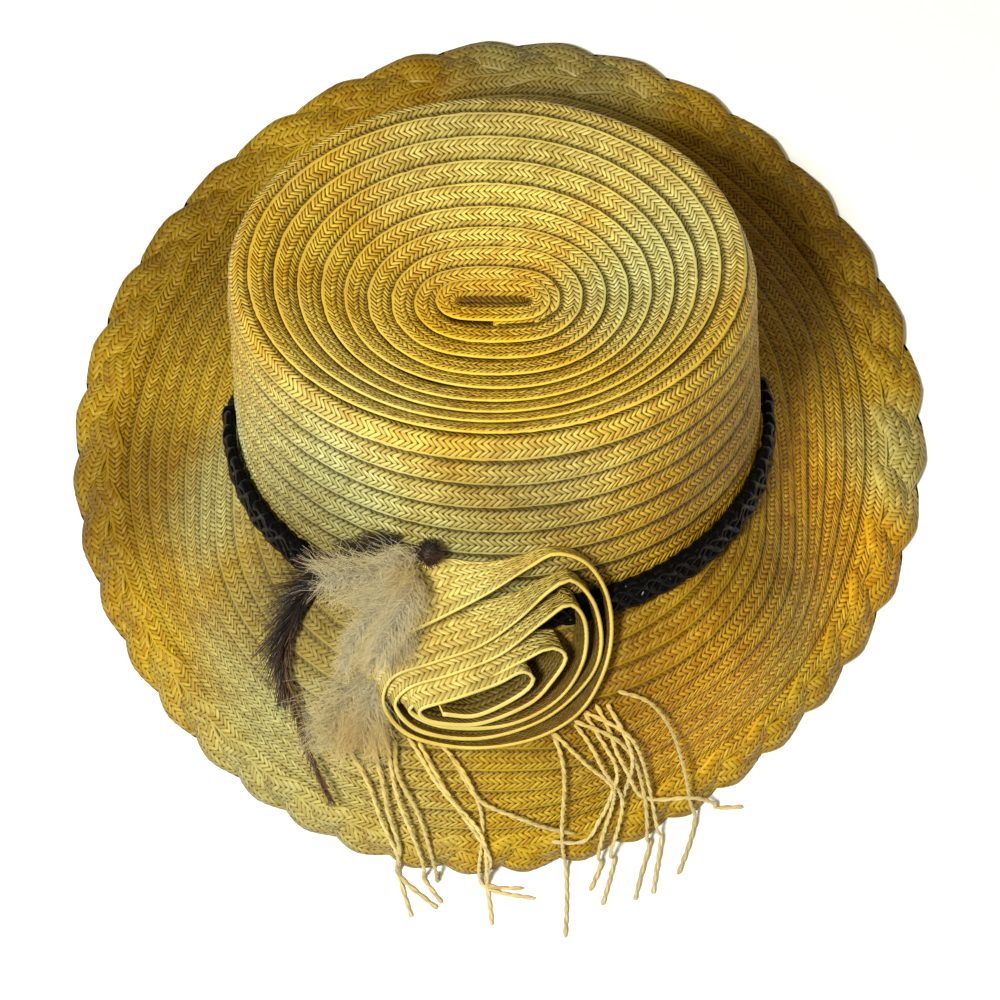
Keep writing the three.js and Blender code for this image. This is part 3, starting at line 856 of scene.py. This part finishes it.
def brim_braid():
    cut, bands = braid_section(BRIM_COLUMNS, BRIM_COLUMN_WIDTH, BRAID_THICK)
    width = cut[:, 0].max()
    stock = Stock()
    degrees = np.arange(-180.0, 181.0)
    lengths = brim_length(np.radians(degrees))
    for row in range(BRIM_ROWS):
        outer = PLAIT_WIDTH - PLAIT_LAP + row * BRIM_EXPOSURE

        def place(turn, across, up, outer=outer, row=row):
            wander = drift(turn * 120, 20 + row, 0.35, 90)
            inset = outer + width - across + wander
            rise = 0.0 if row else PLAIT_RISE
            ease = np.clip((across - width * 0.4) / (width * 0.6), 0, 1)
            lift = -1.3 + LAP_SLOPE * across + up + rise * ease
            return brim_at(turn, inset, lift)

        seen = lengths > outer + 2.0
        if seen.all():
            lay_row(stock, place, 0.0, 2 * np.pi, cut, bands, 100 + row, closed=True)
            continue
        # The row runs out under the band, so only its open stretches are laid.
        starts = [k for k in range(1, len(seen)) if seen[k] and not seen[k - 1]]
        ends = [k for k in range(1, len(seen)) if seen[k - 1] and not seen[k]]
        if seen[0]:
            ends.append(ends.pop(0) + 360)
        for part, (start, end) in enumerate(zip(starts, ends)):
            first = math.radians(start - 180)
            last = math.radians(end - 181)
            if last - first > SHORTEST_STRETCH:
                lay_row(stock, place, first, last, cut, bands, 200 + 10 * row + part, closed=False)
    return stock.make("brim_braid")


# The brim's straw is set darker than the crown's, as painted shade.
brim_finish = braid_finish("brim_straw", 0.75, -0.25, lap_shade=0.6)
finish_braid(brim_braid(), brim_finish, ["brim"])

# ---- The plaited edge ----

PLAIT_PERIODS = 13
STRAND_COLUMNS = 4
STRAND_COLUMN_WIDTH = 2.8
STRAND_SWAY = 4.9
STRAND_DOME = 1.3                    # how far the middle of a strand stands above its sides
STRAND_STEP = 2.0                    # how far a strand rises and dips as it crosses the others


def edge_strands():
    cut, bands = braid_section(STRAND_COLUMNS, STRAND_COLUMN_WIDTH, 1.0, both_sides=True)
    half = STRAND_COLUMNS * STRAND_COLUMN_WIDTH / 2
    stock = Stock()
    for strand in range(3):
        offset = 2 * np.pi * strand / 3

        def swing(turn, offset=offset):
            angle = PLAIT_PERIODS * turn + offset
            sway = STRAND_SWAY * (np.sin(angle) - 0.11 * np.sin(3 * angle))
            return sway, STRAND_STEP * np.sin(2 * angle)

        def place(turn, across, up):
            step = 0.002
            sway, step_up = swing(turn)
            before, _ = swing(turn - step)
            after, _ = swing(turn + step)
            # The strand's own way along, so that its width lies square to it.
            slope = (after - before) / (EDGE_MEAN_HALF * 2 * step)
            length = np.sqrt(1 + slope * slope)
            side = across - half
            inset = PLAIT_WIDTH / 2 + sway + side / length
            shifted = turn - side * slope / length / EDGE_MEAN_HALF
            dome = STRAND_DOME * (1 - (side / half) ** 2)
            points = brim_at(shifted, inset, step_up - 0.8 + up + dome)
            points[..., 2] = np.maximum(points[..., 2], 0.7)
            return points

        lay_row(stock, place, 0.0, 2 * np.pi, cut, bands, 400 + strand, closed=True)
    return stock.make("edge_strands")


# The plait's straw is set darker than the crown's, as painted shade.
plait_finish = braid_finish("plait_straw", 0.7, -0.2, lap_shade=0.2)
finish_braid(edge_strands(), plait_finish, ["edge_plait"])

# ---- The band ----

BAND_LIFT = 0.8                      # of its lower side above the crown's foot
BAND_HEIGHT = 12.5
BAND_CORDS = 4
BAND_PERIODS = 26


def band_lines():
    lines = Lines()
    turn = np.linspace(0, 2 * np.pi, 480, endpoint=False)
    for cord in range(BAND_CORDS):
        share = cord / BAND_CORDS
        angle = BAND_PERIODS * turn + 2 * np.pi * share
        height = BAND_LIFT + BAND_HEIGHT / 2 + (BAND_HEIGHT / 2 - 2.0) * np.sin(angle)
        off = 3.6 + 0.8 * np.sin(2 * angle + (cord % 2) * np.pi)
        lines.add(keep_off(crown_side(turn, height, off), 2.4), 1.0, closed=True, strand=share)
    return lines.make("band_cords")


finish_strands(band_lines(), 2.2, 1.5, 8, cord_finish(), ["crown_band"])

# ---- The rosette ----

ROSETTE_CENTRE = np.array([0.0, -98.0, 95.0])
ROSETTE_AXIS = np.array([0.3, -0.83, 0.47])
ROSETTE_STRIP = 22.0                 # width of the rolled strip
ROSETTE_COLUMNS = 8
# The front edge of the rolled strip: places to the side, up and out of the rosette's middle.
ROSETTE_PATH = np.array([
    (-34, 18.2, 0), (-29, 19.5, 0), (-20, 22.5, 0), (-4, 29, 0), (10, 36.5, 0), (19, 40, 0), (30, 33, 0),
    (37.5, 17, 0), (39, -2, 1), (35, -20, 1), (26, -34, 1), (9, -40, 2), (-12, -38, 2), (-32, -26, 3),
    (-41, -10, 3), (-38, 3, 3), (-24, 6, 3), (-8, 9, 3), (5, 17, 3), (16, 27, 3), (24, 29.5, 3),
    (32, 17, 3), (34.5, -1, 4), (30, -16, 4), (14, -29, 5), (-8, -32, 5), (-29, -22, 6),
    (-38, -8, 6), (-33, 0, 6), (-18, 2, 6), (-2, 6, 6), (12, 16, 6), (22, 22, 6), (28, 12, 6),
    (27, -5, 7), (18, -20, 7), (0, -25.5, 8), (-22, -19, 9), (-34, -8, 9), (-26, -3, 9),
    (-10, -1.5, 9), (5, 4, 9), (15, 7, 9), (20.5, 1, 9), (15, -8, 10), (7, -16, 10),
    (-11, -19, 11), (-28, -12, 12), (-31, -5, 12), (-20, -3.5, 12), (-5, -1, 12), (4, 2, 12),
    (8, -2, 13), (3, -8, 13), (-12, -12, 14), (-24, -8, 14),
], float)
ROSETTE_FLARE = math.radians(30)     # how the strip leans back to show its face, top left
ROSETTE_TUCK = math.radians(-25)     # and how it leans in, top right
ROSETTE_ROOM = 8.0                   # least height of its front edge over the straw
ROSETTE_BULGE = np.array([0.0, -0.366, 0.93])


def rosette_braid():
    axis = unit(ROSETTE_AXIS)
    side = unit(np.array([1.0, 0, 0]) - axis * axis[0])
    rise = np.cross(axis, side)
    column = (ROSETTE_STRIP - 2 * ROLLED_EDGE) / ROSETTE_COLUMNS
    cut, bands = braid_section(ROSETTE_COLUMNS, column, 0.9, both_sides=True)
    path = smooth_path(ROSETTE_PATH)
    way = unit(np.gradient(path, axis=0) * (1, 1, 0))
    share = np.linspace(0, 1, len(path))
    lean = np.interp(path[:, 0], (-12, 20), (ROSETTE_FLARE, ROSETTE_TUCK))
    flares = lean * np.clip(0.94 * way[:, 0] + 0.34 * way[:, 1], 0, 1)
    fronts = ROSETTE_CENTRE + path[:, :1] * side + path[:, 1:2] * rise + path[:, 2:] * axis
    # The front edge bulges out wherever the straw of the hat would be too near it.
    bulge = [max(0.0, ROSETTE_ROOM - straw_below(front)[2]) / 0.9 for front in fronts]
    fronts = fronts + averaged(bulge)[:, None] * ROSETTE_BULGE
    # Where the hat is near behind it, the strip is pressed flatter.
    rooms = []
    for start, along, flare in zip(fronts, way, flares):
        outward = side * -along[1] + rise * along[0]
        aim = Vector(outward * math.sin(flare) - axis * math.cos(flare))
        found = SURFACE.ray_cast(Vector(start), aim, 40.0)
        rooms.append(ROSETTE_STRIP if found[3] is None else found[3] - 1.0)
    pressed = averaged(np.clip(np.array(rooms) / ROSETTE_STRIP, 0.25, 1))

    def read(values, at):
        return np.stack([np.interp(at, share, values[:, k]) for k in range(values.shape[1])], -1)

    def place(at, across, up):
        front, along = read(fronts, at), read(way, at)
        outward = side * -along[..., 1:2] + rise * along[..., :1]
        flare = np.interp(at, share, flares)
        depth = (across + ROLLED_EDGE) * np.interp(at, share, pressed)
        back = depth * np.cos(flare)
        off = up - 0.9 + depth * np.sin(flare)
        points = front + outward * off[..., None] + axis * (np.sin(flare) * up - back)[..., None]
        if points.ndim < 3:
            return points
        return keep_off(points, 0.4 + up)

    stock = Stock()
    lay_row(stock, place, 0.0, 1.0, cut, bands, 500, closed=False, fine_steps=3000)
    return stock.make("rosette_braid")


rosette_finish = braid_finish("rosette_straw", 1.12, 0.16, inner_shade=0.24, gap_shade=0.6, painted_light_share=0.25, lap_shade=0.3)
rosette = finish_braid(rosette_braid(), rosette_finish, ["rosette"])

# ---- Feathers ----

COQUE_UPPER = [(-33, -67, 126), (-41, -68, 120), (-49, -68, 111), (-57, -68, 99)]
COQUE_LOWER = [
    (-47, -70, 104), (-55, -68, 95), (-62, -70, 88), (-68, -77, 84), (-73, -87, 79), (-74, -101, 70),
]
THIN_QUILL = [
    (-71, -84, 80), (-73, -92, 76), (-72, -100, 71), (-69, -109, 64), (-66, -118, 53),
    (-62, -126, 43), (-59, -131, 36),
]
PLUME_QUILLS = [
    [(-27, -74, 128), (-37, -77, 123), (-48, -76, 114), (-58, -73, 103)],
    [(-28, -77, 126), (-35, -83, 120), (-42, -86, 113)],
    [(-28, -78, 125), (-31, -86, 118), (-33, -93, 113), (-36, -99, 108)],
    [(-27, -82, 129), (-30, -89, 127), (-34, -97, 124), (-39, -104, 118)],
    [(-34, -84, 122), (-42, -91, 116), (-48, -97, 108), (-51, -103, 99)],
    [(-32, -92, 111), (-39, -99, 103), (-47, -106, 94), (-54, -114, 81), (-57, -120, 69)],
    [(-33, -94, 111), (-36, -104, 103), (-41, -113, 92), (-46, -121, 78)],
    [(-35, -95, 112), (-39, -105, 104), (-43, -115, 92), (-45, -121, 80)],
]
# Lengths of each quill's barbs from its root to its tip.
PLUME_BARBS = [
    (9, 12, 9), (10, 14, 10), (9, 12, 10), (8, 10, 8), (6, 7, 5), (6, 14, 16, 10), (6, 13, 13),
    (6, 10, 9),
]
PLUME_WARM = [((-46, -121, 78), 19), ((-29, -82, 126), 9)]
KNOT_MIDDLE = np.array([-23.0, -73.0, 127.0])
KNOT_WINDS = 15
TOWARDS_SKY = unit(np.array([-0.15, -0.5, 0.85]))


def net_of(piece):
    mesh = piece.data
    points = [tuple(vertex.co) for vertex in mesh.vertices]
    return BVHTree.FromPolygons(points, [tuple(face.vertices) for face in mesh.polygons])


ROSETTE_NET = net_of(rosette)


def stop_short(path):
    """Draws a barb in where it would run through the rosette's braid."""
    start, end = Vector(to_row(path[0])), Vector(to_row(path[-1]))
    length = (end - start).length
    found = ROSETTE_NET.ray_cast(start, end - start, length)
    if found[3] is None:
        return path
    return path[0] + (path - path[0]) * max(0.12, 0.85 * found[3] / length)


def quill(lines, places, count, lengths, sweep, lift, seed, girth, quill_girth, bend=0.35, waves=0.05):
    """A shaft with barbs on both sides. lengths and sweep run from its root to its tip."""
    random = np.random.default_rng(seed)
    shaft = smooth_path(np.array(places, float), 12)
    lines.add(shaft, quill_girth * np.linspace(1, 0.35, len(shaft)), strand=0.3)
    way = unit(np.gradient(shaft, axis=0))
    across = unit(np.cross(way, TOWARDS_SKY))
    steps = np.linspace(0, 1, 6)[:, None]
    for k in range(count):
        share = (k + random.uniform(0, 1)) / count
        i = min(int(share * (len(shaft) - 1)), len(shaft) - 2)
        hand = 1 if k % 2 else -1
        angle = mix(sweep[0], sweep[1], share) * random.normal(1, 0.2)
        length = np.interp(share, np.linspace(0, 1, len(lengths)), lengths) * random.uniform(0.5, 1.2)
        up = random.normal(lift, 0.22)
        start = mix(shaft[i], shaft[i + 1], share * (len(shaft) - 1) - i)
        aim = unit(way[i] * math.cos(angle) + across[i] * hand * math.sin(angle) + TOWARDS_SKY * up)
        sag = way[i] * bend - TOWARDS_SKY * bend * random.uniform(0.2, 0.9)
        wave = random.normal(0, waves, 3)
        path = start + length * (aim * steps + sag * steps ** 2 * 0.6 + wave * np.sin(steps * 5))
        path[-1:] = keep_off(path[-1:], 0.8)
        path = stop_short(path)
        lines.add(path, girth * np.linspace(1, 0.4, 6), strand=random.uniform(0, 1))


def coque_lines():
    lines = Lines()
    quill(lines, COQUE_UPPER, 420, (7, 9, 8), (0.7, 0.35), 0.12, 11, 1.0, 3.0)
    barbs = (14, 20, 18, 10)
    quill(lines, COQUE_LOWER, 700, barbs, (0.42, 0.1), 0.08, 12, 1.2, 4.0, bend=0.08, waves=0.03)
    return lines.make("coque_barbs")


def thin_lines():
    lines = Lines()
    quill(lines, THIN_QUILL, 340, (9, 9, 7, 6), (0.3, 0.16), 0.08, 13, 1.4, 4.5, bend=0.1, waves=0.05)
    return lines.make("thin_barbs")


def plume_lines():
    lines = Lines()
    for k, (places, lengths) in enumerate(zip(PLUME_QUILLS, PLUME_BARBS)):
        quill(lines, places, 720, lengths, (1.05, 0.6), 0.35, 30 + k, 1.0, 3.0, bend=0.55, waves=0.2)
    return lines.make("marabou_down")


def knot_lines():
    """A ball of wound dark down, with short ends standing out of it."""
    lines = Lines()
    random = np.random.default_rng(41)
    t = np.linspace(0, 1, 260)
    tilt = np.pi * t
    spin = 2 * np.pi * KNOT_WINDS * t
    ball = np.stack([np.sin(tilt) * np.cos(spin), np.cos(tilt), np.sin(tilt) * np.sin(spin)], -1)
    lines.add(KNOT_MIDDLE + ball * (3.0, 2.4, 2.6), 6.0, strand=0.4)
    for aim in unit(random.normal(0, 1, (380, 3))):
        steps = np.linspace(0, 1, 5)[:, None]
        curl = random.normal(0, 0.3, 3)
        path = KNOT_MIDDLE + (2.0 + 2.6 * steps) * aim + curl * steps ** 2 * 3
        lines.add(path, 1.2 * np.linspace(1, 0.5, 5), strand=random.uniform(0, 1))
    return lines.make("knot_down")


coque_finish = strand_finish("dark_feather", QUILL_DARK, QUILL_DARK, QUILL_BROWN, 0.3)
finish_strands(coque_lines(), 0.16, 0.06, 4, coque_finish, ["coque_feather"])
thin_finish = strand_finish("brown_feather", QUILL_BROWN, QUILL_BROWN, QUILL_TIP, 0.4)
finish_strands(thin_lines(), 0.13, 0.06, 4, thin_finish, ["thin_feather"])
plume_finish = strand_finish("marabou", DOWN_SHADE, DOWN_BEIGE, DOWN_GOLD, 0.8, 0.4, warm=PLUME_WARM)
finish_strands(plume_lines(), 0.085, 0.085, 3, plume_finish, ["marabou_plume"])
knot_finish = strand_finish("dark_down", QUILL_DARK, QUILL_DARK, QUILL_BROWN, 0.6)
finish_strands(knot_lines(), 0.15, 0.12, 4, knot_finish, ["feather_knot"])

# ---- The fringe ----

# Each strand: turn and reach of its places on the brim, then its tip on the floor.
FRINGE_LEFT = [
    ([(-24, 50), (-20, 62), (-16, 80), (-12, 98)], (-31, -166)),
    ([(-20, 44), (-16, 68), (-12, 94)], (-22, -162)),
    ([(-18, 42), (-14, 66), (-8, 100)], (-20, -161)),
    ([(-16, 46), (-14, 60), (-8, 86), (-6, 100)], (-22, -149)),
    ([(-14, 44), (-8, 60), (0, 82), (2, 98)], (-3, -169)),
    ([(-12, 46), (-6, 64), (2, 92)], (9, -155)),
    ([(-8, 46), (-2, 62), (1, 80)], (12, -159)),
    ([(-6, 50), (0, 68), (8, 78), (16, 90)], None),
]
FRINGE_RIGHT = [
    ([(12, 40), (14, 56), (14, 92)], (23, -173)),
    ([(12, 40), (18, 54), (22, 68), (22, 82), (20, 104)], (32, -156)),
    ([(16, 38), (20, 54), (24, 80), (22, 106)], (36, -162)),
    ([(16, 36), (24, 48), (28, 80), (28, 106)], (48, -159)),
    ([(18, 34), (26, 48), (29, 80), (30, 104)], (54, -157)),
    ([(24, 28), (30, 36), (34, 58), (36, 96)], (63, -150)),
    ([(20, 32), (24, 56), (28, 84), (36, 94), (40, 104)], (87, -125)),
    ([(18, 34), (23, 60), (22, 76), (20, 86), (17, 92), (12, 90)], None),
    ([(22, 32), (25, 46), (26, 62), (24, 84)], None),
]
PLY_RADIUS = 0.5
PLY_CLOSENESS = 0.62                 # share of that radius from a ply's middle to the strand's
TWIST_PITCH = 8.5
OVER_PLAIT = 3.2                     # how much higher a strand lies where it crosses the plait


def fringe_lines(name, strands, seed):
    lines = Lines()
    random = np.random.default_rng(seed)
    for k, (places, tip) in enumerate(strands):
        turn = np.radians([place[0] for place in places])
        reach = np.array([place[1] for place in places], float)
        lift = 2.2 + 2.2 * np.sin(np.linspace(0.3, np.pi, len(places))) + random.uniform(0, 0.8)
        inset = brim_length(turn) - reach
        lift = lift + OVER_PLAIT * np.clip((PLAIT_WIDTH + 4 - inset) / 6, 0, 1)
        path = brim_at(turn, inset, lift)
        if tip:
            edge = brim_at(turn[-1:] + 0.01, np.array([0.0]), np.array([5.6]))
            path = np.concatenate([path, edge, [(tip[0], tip[1], 1.4)]])
        line = smooth_path(path, 30)
        run = run_along(line)
        even = np.arange(0, run[-1], 0.9)
        line = np.stack([np.interp(even, run, line[:, i]) for i in range(3)], -1)
        wander = np.stack([drift(even, 60 + 5 * k + i + seed, 0.45, 45) for i in range(3)], -1)
        line = line + wander * np.array([1, 1, 0.4])
        line[:, 2] = np.maximum(line[:, 2], 1.2)
        way = unit(np.gradient(line, axis=0))
        across = unit(np.cross(way, (0, 0.35, 0.94)))
        over = np.cross(across, way)
        angle = 2 * np.pi * even / (TWIST_PITCH * random.uniform(0.8, 1.25)) + random.uniform(0, 6)
        for ply in (0, np.pi):
            swing = across * np.cos(angle + ply)[:, None] + over * np.sin(angle + ply)[:, None]
            ends = np.ones(len(line))
            ends[0] = ends[-1] = 0.5
            lines.add(line + swing * PLY_RADIUS * PLY_CLOSENESS, ends, strand=random.uniform(0, 1))
    return lines.make(name)


fringe_finish = strand_finish("fringe_straw", FRINGE_ROOT, FRINGE_MIDDLE, FRINGE_TIP, 0.45)
for name, strands, seed in (("fringe_left", FRINGE_LEFT, 1), ("fringe_right", FRINGE_RIGHT, 2)):
    plies = fringe_lines(name + "_plies", strands, seed)
    finish_strands(plies, PLY_RADIUS * 1.15, PLY_RADIUS * 0.95, 6, fringe_finish, [name])

# ---- Floor, light and camera ----

FLOOR_HALF = 6.0
LIGHT_AIM = Vector((0, 0, 0.05))


def stage():
    mesh = bpy.data.meshes.new("floor")
    corners = [(FLOOR_HALF * x, FLOOR_HALF * y, 0) for x, y in ((-1, -1), (1, -1), (1, 1), (-1, 1))]
    mesh.from_pydata(corners, [], [(0, 1, 2, 3)])
    floor = link_piece("floor", mesh)
    material, tree, shader, place = new_material("floor_paper")
    tooth = noise(tree, place, 300.0)
    paper = ramp(tree, tooth, [(0.3, (0.83, 0.87, 0.95)), (0.7, (0.86, 0.90, 0.98))])
    give(tree, shader.inputs["Base Color"], paper)
    shader.inputs["Roughness"].default_value = 0.9
    mesh.materials.append(material)


def light(name, place, size, power, colour):
    lamp = bpy.data.lights.new(name, "AREA")
    lamp.shape = "DISK"
    lamp.size = size
    lamp.energy = power
    lamp.color = colour
    made = link_piece(name, lamp)
    made.location = place
    made.rotation_mode = "QUATERNION"
    made.rotation_quaternion = (LIGHT_AIM - Vector(place)).to_track_quat("-Z", "Y")


def lights():
    world = bpy.data.worlds.new("room")
    bpy.context.scene.world = world
    world.use_nodes = True
    background = world.node_tree.nodes["Background"]
    background.inputs[0].default_value = (1.0, 0.89, 0.68, 1)
    background.inputs[1].default_value = 0.22
    light("window", (-0.42, -0.62, 1.43), 0.26, 35, (1.0, 0.98, 0.84))
    light("lamp", (0.7, -0.2, 1.5), 0.8, 4, (1.0, 0.8, 0.5))


CAMERA_DISTANCE = 1100.0             # from the centre of the crown's foot
CAMERA_ELEVATION = math.radians(68.5)
CAMERA_TILT = math.radians(1.2996327)    # how far it looks below that centre, to frame the whole hat
CAMERA_LENS = 111.078
SENSOR_WIDTH = 36.0


def camera():
    foot = np.array([0, 0, CROWN_FOOT_HEIGHT])
    back = np.array([0, -math.cos(CAMERA_ELEVATION), math.sin(CAMERA_ELEVATION)])
    place = to_row(foot + back * CAMERA_DISTANCE)
    data = bpy.data.cameras.new("camera")
    data.sensor_width = SENSOR_WIDTH
    data.lens = CAMERA_LENS
    data.clip_start = 0.05
    data.clip_end = 20
    made = link_piece("camera", data)
    turn = Matrix.Rotation(math.pi / 2 - CAMERA_ELEVATION - CAMERA_TILT, 4, "X")
    made.matrix_world = Matrix.Translation(place) @ turn
    bpy.context.scene.camera = made


stage()
lights()
camera()
bpy.context.scene.view_settings.view_transform = "Standard"
